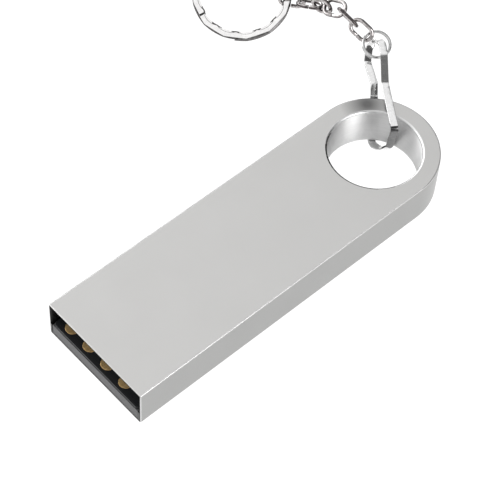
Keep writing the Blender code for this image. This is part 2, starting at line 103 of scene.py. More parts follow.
# The jump ring's and the links' wires are drawn a hair thinner than in the CAD, so that they
# clear each other at the joints' limits.
JUMP_MEAN_RADIUS = 1.33
JUMP_WIRE = 0.31
JUMP_GAP_DEG = 3.0
JUMP_GAP_AT_DEG = 300.0
LINK_WIRE = 0.40
LINK_LENGTH = 2.79
LINK_WIDTH = 1.92
LINK_SEAM = 0.05
LINK_COUNT = 6
WIRE_SIDES = 20
# A cut end of wire is this much thinner than the wire, as its edge is eased.
WIRE_END_SHARE = 0.86
RING_OUTER_RADIUS = 4.98
RING_INNER_RADIUS = 4.13
RING_COIL = 0.28
RING_COIL_GAP = 0.05
RING_FACETS = 13
RING_FACET_DEPTH = 0.07
RING_EDGE_EASE = 0.05
# The bevels on the key ring's upper face, and how much wider or deeper each hammer mark is.
RING_OUTER_MARK_WIDTH = 0.08
RING_OUTER_MARK_DEPTH = 0.07
RING_INNER_BEVEL = 0.09
RING_INNER_MARK_WIDTH = 0.13
RING_STEP_DEG = 1.5
RING_SMOOTH_DEG = 28.0
RING_JOG_AT_DEG = 70.0
RING_JOG_HALF_DEG = 26.0

# The clip's bends: out from the eyelet's axis, sideways, height over the sleeve's underside, and
# how much of each leg the bend's round takes. The places are the CAD's, and the bends of the lower
# leg are crisper.
CLIP_HEADING_DEG = 55.4
CLIP_BENDS = (
    (5.95, 1.17, -0.13, 0.0),
    (9.75, 2.02, -0.13, 0.08),
    (10.98, 2.16, 0.45, 0.06),
    (13.67, 1.97, 0.45, 0.07),
    (14.85, 2.27, 1.20, 0.3),
    (15.30, 2.95, 1.66, 0.5),
    (14.95, 3.50, 1.90, 0.5),
    (13.20, 3.40, 1.90, 0.25),
    (7.17, 2.15, 4.75, 0.10),
    (1.81, 2.15, 4.75, 0.12),
    (3.15, 2.30, 0.45, 0.12),
    (3.30, 1.55, -0.08, 0.5),
    (4.10, 0.75, -0.13, 0.5),
    (5.70, 1.11, -0.13, 0.0),
)

# ---- places read from the frame ----------------------------------------------------------------
JOINTS = {entry["name"]: entry for entry in frame["joints"]}


def joint_place(name):
    return Vector(JOINTS[name]["pos_m"]) / MM


def joint_axis(name):
    return Vector(JOINTS[name]["axis"]).normalized()


def node_box(name):
    low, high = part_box(name)
    return Vector(low) / MM, Vector(high) / MM


SLEEVE_LOW, SLEEVE_HIGH = node_box("housing")
HALF_WIDTH = (SLEEVE_HIGH.x - SLEEVE_LOW.x) / 2
EYELET = Vector((joint_place("clip_swing").x, joint_place("clip_swing").y, SLEEVE_LOW.z))
MOUTH_Y = SLEEVE_LOW.y
CAVITY_END_Y = EYELET.y - EYELET_HOLE_RADIUS - EYELET_WEB


def direction(azimuth_deg, elevation_deg):
    """A unit vector; azimuth 0 is +X and turns towards +Y."""
    azimuth = math.radians(azimuth_deg)
    elevation = math.radians(elevation_deg)
    level = math.cos(elevation)
    return (level * math.cos(azimuth), level * math.sin(azimuth), math.sin(elevation))


# ---- mesh tools --------------------------------------------------------------------------------
SMOOTH_DEG = 35.0
WIRE_SMOOTH_DEG = 60.0


def add_piece(name, points, faces, smooth_deg=SMOOTH_DEG):
    """A closed mesh object from points in millimetres, shaded smooth below the given angle."""
    mesh = bpy.data.meshes.new(name)
    mesh.from_pydata([Vector(p) * MM for p in points], [], faces)
    work = bmesh.new()
    work.from_mesh(mesh)
    bmesh.ops.recalc_face_normals(work, faces=work.faces[:])
    work.to_mesh(mesh)
    work.free()
    mesh.shade_smooth()
    mesh.set_sharp_from_angle(angle=math.radians(smooth_deg))
    piece = bpy.data.objects.new(name, mesh)
    bpy.context.scene.collection.objects.link(piece)
    return piece


def paint_by_direction(mesh, axis, limit, index):
    """Give the faces that look sideways to axis the material at index."""
    for polygon in mesh.polygons:
        if abs(polygon.normal.dot(axis)) < limit:
            polygon.material_index = index


def stand_for(piece, body, slot, *nodes):
    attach(piece, body)
    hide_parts(*nodes)


def prism(outline, low_z, high_z):
    count = len(outline)
    points = [(x, y, low_z) for x, y in outline] + [(x, y, high_z) for x, y in outline]
    faces = [tuple(reversed(range(count))), tuple(range(count, 2 * count))]
    for i in range(count):
        j = (i + 1) % count
        faces.append((i, j, count + j, count + i))
    return points, faces


def box_outline(low_x, high_x, low_y, high_y):
    return [(low_x, low_y), (high_x, low_y), (high_x, high_y), (low_x, high_y)]


def add_bevel(piece, width, segments, angle_deg=60.0):
    bevel = piece.modifiers.new("rounded_edges", "BEVEL")
    bevel.width = width * MM
    bevel.segments = segments
    bevel.limit_method = "ANGLE"
    bevel.angle_limit = math.radians(angle_deg)


def add_cut(piece, points, faces):
    cutter = add_piece(piece.name + "_cutter_%d" % len(piece.modifiers), points, faces)
    cutter.hide_render = True
    boolean = piece.modifiers.new("cut", "BOOLEAN")
    boolean.operation = "DIFFERENCE"
    boolean.solver = "EXACT"
    boolean.object = cutter
    return cutter


def bake_modifiers(piece, cutters):
    """Turn the modifiers' result into the mesh itself, and drop the cutters."""
    bpy.context.view_layer.update()
    shown = piece.evaluated_get(bpy.context.evaluated_depsgraph_get())
    mesh = bpy.data.meshes.new_from_object(shown)
    mesh.name = piece.name
    piece.modifiers.clear()
    piece.data = mesh
    for cutter in cutters:
        bpy.data.objects.remove(cutter, do_unlink=True)
    mesh.shade_smooth()
    mesh.set_sharp_from_angle(angle=math.radians(SMOOTH_DEG))


def flat_faces_stay_flat(piece):
    weighted = piece.modifiers.new("flat_faces", "WEIGHTED_NORMAL")
    weighted.keep_sharp = True
    weighted.weight = 100


def path_tangents(path):
    tangents = []
    for i in range(len(path)):
        low = path[max(i - 1, 0)]
        high = path[min(i + 1, len(path) - 1)]
        tangents.append((high - low).normalized())
    return tangents


def sweep(sections):
    """Points and faces of an open tube through equal rings of points, closed by its two ends."""
    sides = len(sections[0])
    points = [p for ring in sections for p in ring]
    faces = []
    for row in range(len(sections) - 1):
        for i in range(sides):
            j = (i + 1) % sides
            low = row * sides
            high = low + sides
            faces.append((low + i, low + j, high + j, high + i))
    faces.append(tuple(reversed(range(sides))))
    last = (len(sections) - 1) * sides
    faces.append(tuple(range(last, last + sides)))
    return points, faces


def rounded_rectangle(half_a, half_b, radius, steps=4):
    """Corners of a rectangle with round corners, as (a, b) pairs."""
    shape = []
    for quarter, (sign_a, sign_b) in enumerate(((1, 1), (-1, 1), (-1, -1), (1, -1))):
        for i in range(steps + 1):
            angle = math.pi / 2 * (quarter + i / steps)
            a = sign_a * (half_a - radius) + radius * math.cos(angle)
            b = sign_b * (half_b - radius) + radius * math.sin(angle)
            shape.append((a, b))
    return shape


def circle(radius, sides):
    angles = [2.0 * math.pi * i / sides for i in range(sides)]
    return [(radius * math.cos(a), radius * math.sin(a)) for a in angles]


def wire_sections(path, normal, wire):
    """Round-wire sections along an open path that lies in a plane, with eased ends."""
    sections = []
    last = len(path) - 1
    for i, (point, tangent) in enumerate(zip(path, path_tangents(path))):
        outward = tangent.cross(normal).normalized()
        radius = wire / 2
        if i in (0, last):
            radius = radius * WIRE_END_SHARE
        sections.append([point + outward * a + normal * b for a, b in circle(radius, WIRE_SIDES)])
    return sections


# ---- shader tools ------------------------------------------------------------------------------
def shader_node(tree, kind, inputs=None, **settings):
    made = tree.nodes.new("ShaderNode" + kind)
    for key, value in settings.items():
        setattr(made, key, value)
    for key, value in (inputs or {}).items():
        if isinstance(value, bpy.types.NodeSocket):
            tree.links.new(value, made.inputs[key])
        else:
            made.inputs[key].default_value = value
    return made


def start_material(name, **inputs):
    """A new material, its node tree and its Principled shader with constant inputs set."""
    material = bpy.data.materials.new(name)
    material.use_nodes = True
    tree = material.node_tree
    tree.nodes.clear()
    shader = shader_node(tree, "BsdfPrincipled")
    output = shader_node(tree, "OutputMaterial")
    tree.links.new(shader.outputs["BSDF"], output.inputs["Surface"])
    for key, value in inputs.items():
        socket = shader.inputs[key.replace("_", " ")]
        socket.default_value = (*value, 1.0) if isinstance(value, tuple) else value
    return material, tree, shader


def mm_coordinates(tree, stretch=(1.0, 1.0, 1.0)):
    place = shader_node(tree, "TexCoord").outputs["Object"]
    scale = tuple(s / MM for s in stretch)
    return shader_node(tree, "VectorMath", {0: place, 1: scale}, operation="MULTIPLY").outputs[0]


def noise(tree, size, detail=2.0, stretch=(1.0, 1.0, 1.0)):
    """A noise value from 0 to 1 whose blotches are about size millimetres wide."""
    coordinates = mm_coordinates(tree, stretch)
    inputs = {"Vector": coordinates, "Scale": 1.0 / size, "Detail": detail}
    return shader_node(tree, "TexNoise", inputs).outputs["Fac"]


def remap(tree, value, low, high, out_low, out_high):
    inputs = {"Value": value, "From Min": low, "From Max": high, "To Min": out_low, "To Max": out_high}
    return shader_node(tree, "MapRange", inputs, clamp=True).outputs["Result"]


def add_up(tree, *values):
    total = values[0]
    for value in values[1:]:
        total = shader_node(tree, "Math", {0: total, 1: value}, operation="ADD").outputs[0]
    return total


def times(tree, first, second):
    return shader_node(tree, "Math", {0: first, 1: second}, operation="MULTIPLY").outputs[0]


def blend_colours(tree, factor, first, second):
    made = shader_node(tree, "Mix", data_type="RGBA")
    tree.links.new(factor, made.inputs[0])
    for index, value in ((6, first), (7, second)):
        if isinstance(value, bpy.types.NodeSocket):
            tree.links.new(value, made.inputs[index])
        else:
            made.inputs[index].default_value = (*value, 1.0)
    return made.outputs[2]


def bump(tree, height, depth_mm):
    inputs = {"Height": height, "Distance": depth_mm * MM, "Strength": 1.0}
    return shader_node(tree, "Bump", inputs).outputs["Normal"]


def feed(tree, shader, **sockets):
    for key, value in sockets.items():
        tree.links.new(value, shader.inputs[key.replace("_", " ")])


# ---- materials ---------------------------------------------------------------------------------
def soft_spot(tree, centre, inner_mm, outer_mm):
    """1 near a point of the drive and 0 beyond the outer radius."""
    ends = {0: mm_coordinates(tree), 1: tuple(centre)}
    away = shader_node(tree, "VectorMath", ends, operation="DISTANCE")
    return remap(tree, away.outputs["Value"], inner_mm, outer_mm, 1.0, 0.0)


def satin_steel(name, dark, light, spot=None):
    """Fine blasted stainless sheet with faint handling smudges, and a dark spot of painted shadow if
    given.
    """
    material, tree, shader = start_material(name, Metallic=1.0)
    grain = noise(tree, 0.11, 3.0)
    smudge = noise(tree, 5.0, 4.0)
    smudge_rough = remap(tree, smudge, 0.35, 0.65, -0.01, 0.015)
    rough = add_up(tree, remap(tree, grain, 0.3, 0.7, 0.33, 0.40), smudge_rough)
    tone = add_up(tree, times(tree, grain, 0.35), times(tree, smudge, 0.65))
    colour = blend_colours(tree, remap(tree, tone, 0.3, 0.7, 0.0, 1.0), dark, light)
    if spot:
        # Painted shadow: round the spot, the colour darkens towards dark grey.
        rubbed = times(tree, soft_spot(tree, *spot), remap(tree, smudge, 0.3, 0.7, 0.8, 0.95))
        colour = blend_colours(tree, rubbed, colour, (0.09, 0.09, 0.09))
    feed(tree, shader, Base_Color=colour, Roughness=rough, Normal=bump(tree, grain, 0.0016))
    return material


def edge_steel(name, dark, light, roughness=0.30):
    """The sleeve's rounded edges, rubbed in places by handling."""
    material, tree, shader = start_material(name, Metallic=1.0)
    grain = noise(tree, 0.16, 3.0)
    wear = noise(tree, 1.4, 4.0)
    colour = blend_colours(tree, remap(tree, wear, 0.4, 0.62, 0.0, 1.0), dark, light)
    rough = remap(tree, wear, 0.35, 0.65, roughness, roughness * 0.6)
    feed(tree, shader, Base_Color=colour, Roughness=rough, Normal=bump(tree, grain, 0.0005))
    return material


def bore_steel():
    """The eyelet's wall: turned and polished, so its shine runs in upright streaks."""
    material, tree, shader = start_material("bore_steel", Metallic=1.0, Anisotropic=0.95)
    rings = noise(tree, 0.05, 2.0, (0.02, 0.02, 1.0))
    blotch = noise(tree, 1.2, 3.0)
    streaks = remap(tree, rings, 0.3, 0.7, 0.0, 1.0)
    colour = blend_colours(tree, streaks, (0.70, 0.70, 0.70), (0.75, 0.75, 0.748))
    tangent = shader_node(tree, "Tangent", direction_type="UV_MAP", uv_map="upright").outputs[0]
    rough = remap(tree, blotch, 0.35, 0.65, 0.55, 0.62)
    feed(tree, shader, Base_Color=colour, Tangent=tangent)
    feed(tree, shader, Roughness=rough, Normal=bump(tree, rings, 0.0005))
    return material


def painted_shade_inner_steel(name, dark, light):
    """The sleeve's unpolished inside and mouth, painted dark as shade."""
    material, tree, shader = start_material(name, Metallic=1.0)
    grain = noise(tree, 0.2, 4.0)
    colour = blend_colours(tree, grain, dark, light)
    feed(tree, shader, Base_Color=colour, Roughness=remap(tree, grain, 0.3, 0.7, 0.38, 0.55))
    feed(tree, shader, Normal=bump(tree, grain, 0.004))
    return material


def moulded_plastic(name, dark, light, roughness=0.48, grain_mm=0.12):
    material, tree, shader = start_material(name, Specular_IOR_Level=0.45)
    grain = noise(tree, grain_mm, 3.0)
    flow = noise(tree, 2.2, 3.0, (1.0, 0.3, 1.0))
    tone = add_up(tree, times(tree, grain, 0.4), times(tree, flow, 0.6))
    colour = blend_colours(tree, remap(tree, tone, 0.3, 0.7, 0.0, 1.0), dark, light)
    rough = remap(tree, grain, 0.3, 0.7, roughness - 0.06, roughness + 0.08)
    feed(tree, shader, Base_Color=colour, Roughness=rough, Normal=bump(tree, grain, 0.004))
    return material


def solder_mask():
    """Black solder mask with the cloth weave of the laminate just showing through."""
    inputs = {"Coat_Weight": 0.08, "Coat_Roughness": 0.22, "Specular_IOR_Level": 0.3}
    material, tree, shader = start_material("solder_mask", **inputs)
    threads = {"Vector": mm_coordinates(tree), "Scale": 1.6, "Distortion": 0.6}
    weave_x = shader_node(tree, "TexWave", threads, bands_direction="X").outputs["Fac"]
    weave_y = shader_node(tree, "TexWave", threads, bands_direction="Y").outputs["Fac"]
    weave = add_up(tree, times(tree, weave_x, 0.5), times(tree, weave_y, 0.5))
    specks = noise(tree, 0.08, 3.0)
    tone = add_up(tree, times(tree, weave, 0.5), times(tree, specks, 0.5))
    colour = blend_colours(tree, tone, (0.010, 0.011, 0.012), (0.022, 0.023, 0.025))
    feed(tree, shader, Base_Color=colour, Roughness=remap(tree, specks, 0.3, 0.7, 0.32, 0.46))
    feed(tree, shader, Normal=bump(tree, weave, 0.003))
    return material


def contact_gold():
    """Gold plating with lengthwise rub marks from plugging in."""
    material, tree, shader = start_material("contact_gold", Metallic=0.8)
    rubs = noise(tree, 0.05, 3.0, (1.0, 0.03, 1.0))
    tarnish = noise(tree, 0.6, 4.0)
    rubbed = remap(tree, rubs, 0.35, 0.65, 0.0, 1.0)
    bright = blend_colours(tree, rubbed, (0.74, 0.47, 0.19), (0.90, 0.64, 0.31))
    colour = blend_colours(tree, remap(tree, tarnish, 0.5, 0.75, 0.0, 0.5), bright, (0.55, 0.38, 0.18))
    feed(tree, shader, Base_Color=colour, Roughness=remap(tree, rubs, 0.3, 0.7, 0.42, 0.56))
    feed(tree, shader, Normal=bump(tree, rubs, 0.001))
    return material


def bright_plate(name, dark, light, roughness, grain_mm=0.25):
    """Bright plating: nearly mirror-like, with faint polish ripples and dull specks."""
    material, tree, shader = start_material(name, Metallic=1.0)
    ripple = noise(tree, grain_mm * 4.0, 2.0)
    specks = noise(tree, grain_mm, 4.0)
    tone = add_up(tree, times(tree, ripple, 0.5), times(tree, specks, 0.5))
    colour = blend_colours(tree, remap(tree, tone, 0.35, 0.65, 0.0, 1.0), dark, light)
    rough = remap(tree, specks, 0.35, 0.7, roughness - 0.03, roughness + 0.05)
    height = add_up(tree, ripple, times(tree, specks, 0.25))
    feed(tree, shader, Base_Color=colour, Roughness=rough, Normal=bump(tree, height, 0.006))
    return material


def ceramic_chip(name, dark, light):
    material, tree, shader = start_material(name, Specular_IOR_Level=0.5)
    grain = noise(tree, 0.05, 4.0)
    colour = blend_colours(tree, grain, dark, light)
    feed(tree, shader, Base_Color=colour, Roughness=remap(tree, grain, 0.3, 0.7, 0.3, 0.5))
    feed(tree, shader, Normal=bump(tree, grain, 0.003))
    return material


def plated_can():
    material, tree, shader = start_material("plated_can", Metallic=1.0)
    grain = noise(tree, 0.07, 3.0, (0.1, 1.0, 1.0))
    colour = blend_colours(tree, grain, (0.52, 0.50, 0.44), (0.72, 0.70, 0.64))
    feed(tree, shader, Base_Color=colour, Roughness=remap(tree, grain, 0.3, 0.7, 0.24, 0.42))
    feed(tree, shader, Normal=bump(tree, grain, 0.002))
    return material


def cured_glue():
    inputs = {"Transmission_Weight": 0.3, "Coat_Weight": 0.3, "Coat_Roughness": 0.2}
    material, tree, shader = start_material("cured_glue", **inputs)
    cloud = noise(tree, 0.7, 4.0)
    colour = blend_colours(tree, cloud, (0.62, 0.57, 0.44), (0.80, 0.77, 0.66))
    feed(tree, shader, Base_Color=colour, Roughness=remap(tree, cloud, 0.3, 0.7, 0.25, 0.45))
    feed(tree, shader, Normal=bump(tree, cloud, 0.02))
    return material


# ---- the sleeve --------------------------------------------------------------------------------
SLEEVE_FINISHES = ("face", "side", "edge", "dull_edge", "rim", "bore", "inside", "mouth")
# Azimuth and elevation that the outer edges painted with shade face, and of the eyelet's rim.
SHADED_EDGE_SIDE = (135.0, 0.0)
SHADED_RIM_SIDE = (100.0, 0.0)
# A painted shadow of the strap clip on the rim: its centre, and the radii where it starts to
# fade and ends.
CLIP_SHADOW_SPOT = (EYELET + Vector((-4.3, 3.15, 0.0)) + UP * (SLEEVE_HIGH.z - EYELET.z), 0.3, 2.6)
# A face is flat or upright when its normal is at least this close to that way.
SQUARE_ON = 0.999
# A face this near an outer surface of the sleeve belongs to that surface.
SURFACE_DEPTH = MOUTH_LIP * 0.6
# How close a face's normal is to the shaded sides, as a cosine, when it takes the painted shade.
SHADED_EDGE_COSINE = 0.15
SHADED_RIM_COSINE = 0.2
# How far behind the mouth its front faces lie at most, and the cavity's past its end.
ON_MOUTH = 0.01
PAST_CAVITY = 0.05


def sleeve_outline(segments=120):
    """The sleeve from above: square at the mouth, a half circle round the eyelet."""
    outline = [(EYELET.x - HALF_WIDTH, MOUTH_Y), (EYELET.x + HALF_WIDTH, MOUTH_Y)]
    for i in range(segments + 1):
        angle = math.pi * i / segments
        x = EYELET.x + HALF_WIDTH * math.cos(angle)
        outline.append((x, EYELET.y + HALF_WIDTH * math.sin(angle)))
    return outline


def eyelet_profile():
    """Radius and height down the eyelet's cutter, rolled outwards at both rims."""
    steps = 5
    roll = []
    for i in range(steps + 1):
        angle = math.radians(EYELET_ROLL_DEG) * i / steps
        out = EYELET_LIP_ROUND * (1.0 - math.cos(angle))
        roll.append((out, EYELET_LIP_ROUND * (1.0 - math.sin(angle))))
    last_out, last_in = roll[-1]
    slope = math.tan(math.radians(90.0 - EYELET_ROLL_DEG))
    rise = CUTTER_OVERRUN * slope
    roll.append((last_out + (last_in + rise) / slope, -rise))
    upper = [(EYELET_HOLE_RADIUS + out, SLEEVE_HIGH.z - depth) for out, depth in roll]
    lower = [(EYELET_HOLE_RADIUS + out, SLEEVE_LOW.z + depth) for out, depth in reversed(roll)]
    return lower + upper


def turned(profile, centre, segments):
    """A solid turned about the upright line through centre."""
    points = []
    faces = []
    for radius, height in profile:
        for i in range(segments):
            angle = 2.0 * math.pi * i / segments
            x = centre.x + radius * math.cos(angle)
            points.append((x, centre.y + radius * math.sin(angle), height))
    for row in range(len(profile) - 1):
        for i in range(segments):
            j = (i + 1) % segments
            low = row * segments
            high = low + segments
            faces.append((low + i, low + j, high + j, high + i))
    faces.append(tuple(reversed(range(segments))))
    last = (len(profile) - 1) * segments
    faces.append(tuple(range(last, last + segments)))
    return points, faces


def mouth_flare():
    """A wedge that thins the lip above the tray and at both sides of the mouth."""
    inner_x = HALF_WIDTH - SLEEVE_WALL
    outer_x = HALF_WIDTH - MOUTH_LIP
    inner_z = SLEEVE_HIGH.z - SLEEVE_WALL
    outer_z = SLEEVE_HIGH.z - MOUTH_LIP
    low_z = node_box("carrier_tray")[1].z
    back = MOUTH_Y + MOUTH_FLARE_DEPTH
    front = MOUTH_Y - CUTTER_OVERRUN
    reach = CUTTER_OVERRUN / MOUTH_FLARE_DEPTH
    wide_x = outer_x + (outer_x - inner_x) * reach
    high_z = outer_z + (outer_z - inner_z) * reach
    points = []
    for half, y, top in ((wide_x, front, high_z), (inner_x, back, inner_z)):
        points += [(EYELET.x - half, y, low_z), (EYELET.x + half, y, low_z)]
        points += [(EYELET.x + half, y, top), (EYELET.x - half, y, top)]
    faces = [(3, 2, 1, 0), (4, 5, 6, 7), (0, 1, 5, 4), (1, 2, 6, 5), (2, 3, 7, 6), (3, 0, 4, 7)]
    return points, faces


def sleeve_region(centre, normal):
    """The place in SLEEVE_FINISHES of the finish that a face takes."""
    level = math.hypot(normal.x, normal.y)
    near_top = centre.z > SLEEVE_HIGH.z - SURFACE_DEPTH
    near_outside = near_top or centre.z < SLEEVE_LOW.z + SURFACE_DEPTH
    if abs(normal.z) > SQUARE_ON and near_outside:
        return SLEEVE_FINISHES.index("face")
    from_axis = math.hypot(centre.x - EYELET.x, centre.y - EYELET.y)
    if from_axis < EYELET_HOLE_RADIUS + EYELET_LIP_ROUND:
        if level > SQUARE_ON:
            return SLEEVE_FINISHES.index("bore")
        # Painted shade: rim faces turned towards the shaded side take the dark edge steel.
        rim_faces_back = normal.dot(Vector(direction(*SHADED_RIM_SIDE))) > SHADED_RIM_COSINE
        return SLEEVE_FINISHES.index("dull_edge" if rim_faces_back else "rim")
    # Painted shade: the front faces of the mouth take dark grey steel, as the shaded front.
    if normal.y < -SQUARE_ON and centre.y < MOUTH_Y + ON_MOUTH:
        return SLEEVE_FINISHES.index("mouth")
    inside_x = abs(centre.x - EYELET.x) < HALF_WIDTH - SURFACE_DEPTH
    # Painted shade: the cavity's inside takes nearly black steel.
    if inside_x and not near_outside and centre.y < CAVITY_END_Y + PAST_CAVITY:
        return SLEEVE_FINISHES.index("inside")
    # Painted highlight: the upright faces of the front right corner take the bright rim steel.
    if level > SQUARE_ON:
        return SLEEVE_FINISHES.index("rim" if normal.x > 0.1 and normal.y < -0.1 else "side")
    # Painted shade: edge faces turned towards the shaded side take the dark edge steel.
    faces_back = normal.dot(Vector(direction(*SHADED_EDGE_SIDE))) > SHADED_EDGE_COSINE
    return SLEEVE_FINISHES.index("dull_edge" if faces_back else "edge")


def paint_sleeve(mesh):
    """Give each face its finish, and the bore a map whose U runs upright."""
    upright = mesh.uv_layers.new(name="upright")
    for polygon in mesh.polygons:
        polygon.material_index = sleeve_region(polygon.center / MM, polygon.normal)
        for corner in polygon.loop_indices:
            place = mesh.vertices[mesh.loops[corner].vertex_index].co / MM
            turn = math.atan2(place.y - EYELET.y, place.x - EYELET.x)
            upright.data[corner].uv = (place.z / 10.0, (turn / (2.0 * math.pi)) % 1.0)


def build_sleeve():
    sleeve = add_piece("metal_sleeve", *prism(sleeve_outline(), SLEEVE_LOW.z, SLEEVE_HIGH.z))
    add_bevel(sleeve, SLEEVE_EDGE_ROUND, 5)
    inner_x = HALF_WIDTH - SLEEVE_WALL
    front = MOUTH_Y - 2.0 * CUTTER_OVERRUN
    outline = box_outline(EYELET.x - inner_x, EYELET.x + inner_x, front, CAVITY_END_Y)
    cavity = prism(outline, SLEEVE_LOW.z + SLEEVE_WALL, SLEEVE_HIGH.z - SLEEVE_WALL)
    cutters = [add_cut(sleeve, *cavity), add_cut(sleeve, *mouth_flare())]
    cutters.append(add_cut(sleeve, *turned(eyelet_profile(), EYELET, 240)))
    bake_modifiers(sleeve, cutters)
    finishes = {
        "face": satin_steel("satin_steel", (0.542, 0.539, 0.532), (0.568, 0.565, 0.558), CLIP_SHADOW_SPOT),
        # Painted shade: the upright sides take a darker copy of the top's satin steel.
        "side": satin_steel("satin_steel_painted_shade_side", (0.372, 0.372, 0.367), (0.402, 0.402, 0.397)),
        "edge": edge_steel("polished_edge_steel", (0.58, 0.577, 0.573), (0.63, 0.627, 0.622), 0.42),
        # Painted shade: a dark copy of the edge steel, for the edges that face away.
        "dull_edge": edge_steel("painted_shade_edge_steel", (0.10, 0.10, 0.10), (0.17, 0.17, 0.17)),
        "rim": edge_steel("polished_rim_steel", (0.64, 0.64, 0.64), (0.70, 0.70, 0.70), 0.46),
        "bore": bore_steel(),
        # Painted shade: the cavity's inside is steel painted nearly black.
        "inside": painted_shade_inner_steel("painted_shade_inner_steel", (0.025, 0.025, 0.025), (0.06, 0.06, 0.058)),
        # Painted shade: the mouth's front faces are steel painted dark grey.
        "mouth": painted_shade_inner_steel("painted_shade_mouth_steel", (0.08, 0.08, 0.08), (0.10, 0.10, 0.098)),
    }
    for name in SLEEVE_FINISHES:
        sleeve.data.materials.append(finishes[name])
    paint_sleeve(sleeve.data)
    flat_faces_stay_flat(sleeve)
    stand_for(sleeve, "drive", "sleeve_metal", "housing")


# ---- carrier, board and contacts ---------------------------------------------------------------
def build_tray():
    low, high = node_box("carrier_tray")
    pocket_y = (low.y + TRAY_END_BAR, high.y - TRAY_END_BAR)
    pocket = box_outline(low.x + TRAY_RAIL, high.x - TRAY_RAIL, *pocket_y)
    front = MOUTH_Y + TRAY_FRONT_GAP
    bottom = SLEEVE_LOW.z + SLEEVE_WALL + TRAY_FLOOR_GAP
    points, faces = prism(box_outline(low.x, high.x, front, high.y), bottom, high.z)
    tray = add_piece("grey_carrier", points, faces)
    add_bevel(tray, TRAY_EDGE_ROUND, 3)
    cutter = add_cut(tray, *prism(pocket, low.z + TRAY_BASE, high.z + CUTTER_OVERRUN))
    bake_modifiers(tray, [cutter])
    flat_faces_stay_flat(tray)
    grey = moulded_plastic("grey_plastic", (0.066, 0.066, 0.068), (0.086, 0.086, 0.088))
    tray.data.materials.append(grey)
    stand_for(tray, "drive", "tray_plastic", "carrier_tray")


def build_board():
    low, high = node_box("module_board")
    outline = [
        (low.x + BOARD_CORNER, low.y),
        (high.x - BOARD_CORNER, low.y),
        (high.x, low.y + BOARD_CORNER),
        (high.x, high.y),
        (low.x, high.y),
        (low.x, low.y + BOARD_CORNER),
    ]
    board = add_piece("black_board", *prism(outline, low.z, high.z))
    add_bevel(board, BOARD_EDGE_ROUND, 2, 30.0)
    flat_faces_stay_flat(board)
    board.data.materials.append(solder_mask())
    stand_for(board, "drive", "board_black", "module_board")


def contact_outline(low, high):
    radius = (high.x - low.x) / 2
    middle = (high.x + low.x) / 2
    steps = 20
    outline = []
    for end, centre_y in ((-1.0, low.y + radius), (1.0, high.y - radius)):
        for i in range(steps + 1):
            angle = math.pi * i / steps
            x = middle + end * radius * math.cos(angle)
            outline.append((x, centre_y + end * radius * math.sin(angle)))
    return outline


def build_contacts():
    gold = contact_gold()
    for name in ("contact_ground", "contact_data_plus", "contact_data_minus", "contact_power"):
        low, high = node_box(name)
        contact = add_piece(name + "_plated", *prism(contact_outline(low, high), low.z, high.z))
        add_bevel(contact, CONTACT_EDGE_ROUND, 3)
        flat_faces_stay_flat(contact)
        contact.data.materials.append(gold)
        stand_for(contact, "drive", "contact_gold", name)


# ---- strap clip --------------------------------------------------------------------------------
def heading_vector(heading_deg):
    """A level unit vector; heading 0 is +Y and turns towards -X."""
    heading = math.radians(heading_deg)
    return Vector((-math.sin(heading), math.cos(heading), 0.0))


def rounded_path(corners, shares, steps=12):
    path = [corners[0]]
    for i in range(1, len(corners) - 1):
        before = corners[i] + (corners[i - 1] - corners[i]) * shares[i]
        after = corners[i] + (corners[i + 1] - corners[i]) * shares[i]
        for k in range(steps + 1):
            t = k / steps
            bent = before * (1 - t) ** 2 + corners[i] * (2 * t * (1 - t)) + after * t ** 2
            if (bent - path[-1]).length > 1e-4:
                path.append(bent)
    path.append(corners[-1])
    return path


def paint_clip(mesh, side):
    """Cut edges at both sides painted dark, and painted shade on the leg in the eyelet and under the
    rim.
    """
    for polygon in mesh.polygons:
        # Painted shade: the strip's cut edges at both sides are painted dark.
        if abs(polygon.normal.dot(side)) > CUT_EDGE_COSINE:
            polygon.material_index = 1
        centre = polygon.center / MM
        from_axis = math.hypot(centre.x - EYELET.x, centre.y - EYELET.y)
        in_eyelet = from_axis < EYELET_HOLE_RADIUS and centre.z > SLEEVE_LOW.z + SLEEVE_WALL
        low_down = centre.z < SLEEVE_LOW.z + CLIP_THICKNESS
        under_rim = HALF_WIDTH < from_axis < UNDER_RIM_REACH and low_down
        # Painted shade: the leg's faces in the eyelet and under the rim are painted near black.
        if under_rim or in_eyelet and abs(polygon.normal.z) < TOO_LEVEL_COSINE:
            polygon.material_index = 2


def build_clip():
    out = heading_vector(CLIP_HEADING_DEG)
    side = heading_vector(CLIP_HEADING_DEG - 90.0)
    corners = [EYELET + out * a + side * b + UP * height for a, b, height, _ in CLIP_BENDS]
    path = rounded_path(corners, [share for *_, share in CLIP_BENDS])
    shape = rounded_rectangle(CLIP_WIDTH / 2, CLIP_THICKNESS / 2, CLIP_ROUND)
    sections = []
    for point, tangent in zip(path, path_tangents(path)):
        across = (side - tangent * side.dot(tangent)).normalized()
        normal = tangent.cross(across)
        sections.append([point + across * a + normal * b for a, b in shape])
    clip = add_piece("bent_strap_clip", *sweep(sections), smooth_deg=40.0)
    finishes = (
        bright_plate("clip_plate", (0.70, 0.70, 0.70), (0.80, 0.80, 0.80), 0.10),
        # Painted shade: a dark copy of the plate for the strip's cut edges.
        bright_plate("clip_edge_painted_shade", (0.20, 0.20, 0.20), (0.32, 0.32, 0.32), 0.30),
        bright_plate("clip_leg_painted_shade", (0.07, 0.07, 0.07), (0.14, 0.14, 0.14), 0.22),
    )
    for material in finishes:
        clip.data.materials.append(material)
    paint_clip(clip.data, side)
    stand_for(clip, "strap_clip", "clip_chrome", "strap_clip")


